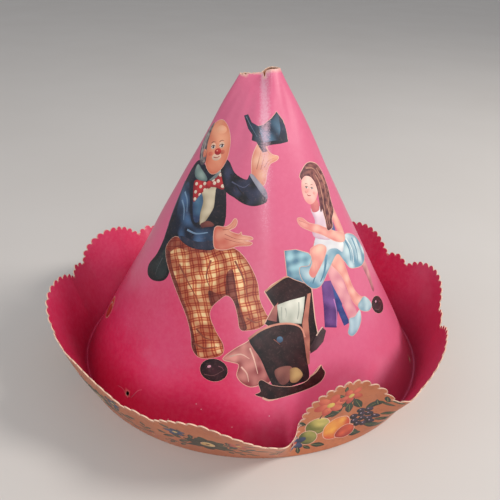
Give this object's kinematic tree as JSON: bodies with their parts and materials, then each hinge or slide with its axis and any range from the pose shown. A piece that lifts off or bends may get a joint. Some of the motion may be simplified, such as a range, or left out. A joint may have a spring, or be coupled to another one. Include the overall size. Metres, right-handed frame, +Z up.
{
  "type": "new year party hat",
  "caption": "Oval cone party hat of printed card with an open cut-off tip and a turned-up scalloped brim whose panels bend at the scored crease.",
  "frame": {"origin": "centre of the oval head opening, on the plane that the scored fold rests on", "axes": "+Z up to the cut-off tip, -Y to the printed front, +X across the wide way of the oval"},
  "size_m": [0.2175, 0.1991, 0.157],
  "materials": {
    "pink_card": "glossy printed card",
    "orange_card": "satin printed card",
    "card_core": "worn card fold",
    "brim_card": "glossy printed card, duplex"
  },
  "bodies": {
    "crown": {"crown_cone": "pink_card", "lap_seam": "orange_card", "scored_fold": "card_core"},
    "panel_01": {"brim_panel_01": "brim_card"},
    "panel_02": {"brim_panel_02": "brim_card"},
    "panel_03": {"brim_panel_03": "brim_card"},
    "panel_04": {"brim_panel_04": "brim_card"},
    "panel_05": {"brim_panel_05": "brim_card"},
    "panel_06": {"brim_panel_06": "brim_card"},
    "panel_07": {"brim_panel_07": "brim_card"},
    "panel_08": {"brim_panel_08": "brim_card"},
    "panel_09": {"brim_panel_09": "brim_card"},
    "panel_10": {"brim_panel_10": "brim_card"}
  },
  "joints": [
    {"name": "panel_01_crease", "type": "hinge", "parent": "crown", "child": "panel_01", "pos_m": [0.045, -0.07133, 0.00115], "axis": [0.9124, 0.4094, 0], "range_deg": [0, 15]},
    {"name": "panel_02_crease", "type": "hinge", "parent": "crown", "child": "panel_02", "pos_m": [0.08616, -0.03533, 0.00115], "axis": [0.4994, 0.8664, 0], "range_deg": [0, 15]},
    {"name": "panel_03_crease", "type": "hinge", "parent": "crown", "child": "panel_03", "pos_m": [0.09327, 0.01844, 0.00115], "axis": [-0.2677, 0.9635, 0], "range_deg": [0, 15]},
    {"name": "panel_04_crease", "type": "hinge", "parent": "crown", "child": "panel_04", "pos_m": [0.06094, 0.06235, 0.00115], "axis": [-0.821, 0.5709, 0], "range_deg": [0, 15]},
    {"name": "panel_05_crease", "type": "hinge", "parent": "crown", "child": "panel_05", "pos_m": [0.00914, 0.08043, 0.00115], "axis": [-0.9967, 0.0806, 0], "range_deg": [0, 15]},
    {"name": "panel_06_crease", "type": "hinge", "parent": "crown", "child": "panel_06", "pos_m": [-0.045, 0.07133, 0.00115], "axis": [-0.9124, -0.4094, 0], "range_deg": [0, 15]},
    {"name": "panel_07_crease", "type": "hinge", "parent": "crown", "child": "panel_07", "pos_m": [-0.08616, 0.03533, 0.00115], "axis": [-0.4994, -0.8664, 0], "range_deg": [0, 15]},
    {"name": "panel_08_crease", "type": "hinge", "parent": "crown", "child": "panel_08", "pos_m": [-0.09327, -0.01844, 0.00115], "axis": [0.2677, -0.9635, 0], "range_deg": [0, 15]},
    {"name": "panel_09_crease", "type": "hinge", "parent": "crown", "child": "panel_09", "pos_m": [-0.06094, -0.06235, 0.00115], "axis": [0.821, -0.5709, 0], "range_deg": [0, 15]},
    {"name": "panel_10_crease", "type": "hinge", "parent": "crown", "child": "panel_10", "pos_m": [-0.00914, -0.08043, 0.00115], "axis": [0.9967, -0.0806, 0], "range_deg": [0, 15]}
  ]
}
